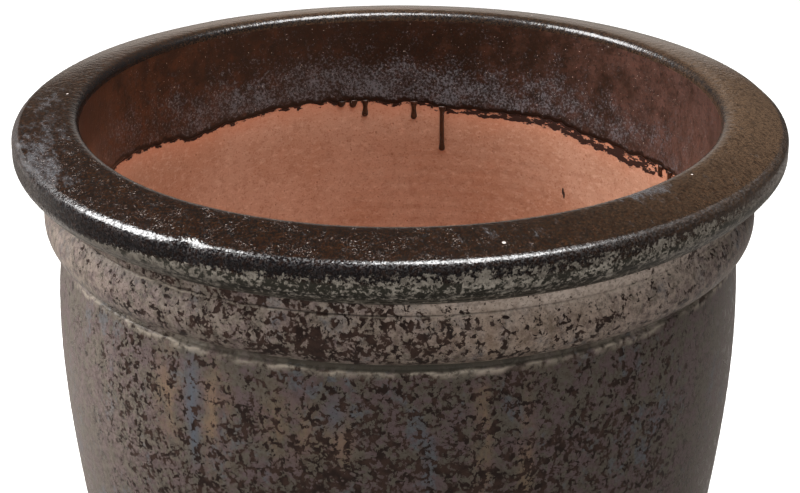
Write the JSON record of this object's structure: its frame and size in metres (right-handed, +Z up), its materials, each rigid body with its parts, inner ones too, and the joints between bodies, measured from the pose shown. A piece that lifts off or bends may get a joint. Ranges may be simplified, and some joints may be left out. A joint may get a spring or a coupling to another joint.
{
  "type": "flower pot",
  "caption": "Large round floor planter in glazed terracotta, with a rolled rim, a convex collar over a groove, a tapered body and a drain hole.",
  "frame": {"origin": "centre of the foot ring's underside, on the surface that the pot stands on", "axes": "+Z up along the pot's axis, from the foot to the mouth; the pot is round, so +X and +Y are free, and the longest run of glaze inside lies towards +Y"},
  "size_m": [0.6, 0.6, 0.48],
  "materials": {
    "bare_terracotta": "unglazed, matt, open pores and throwing lines",
    "speckled_glaze": "satin mottled glaze, dark brown patches over metallic grey and tan flakes",
    "lip_glaze": "dark brown gloss with fine pale flecks",
    "inner_glaze": "dark brown, brushed thin towards its lower edge"
  },
  "bodies": {
    "root": {"foot_ring": "bare_terracotta", "base_slab": "bare_terracotta", "luting_coil": "bare_terracotta", "lower_wall": "bare_terracotta", "upper_wall": "bare_terracotta", "collar_band": "bare_terracotta", "rim_coil": "bare_terracotta", "outer_glaze": "speckled_glaze", "lip_glaze": "lip_glaze", "inner_glaze": "inner_glaze", "glaze_drips": "inner_glaze"}
  },
  "joints": []
}
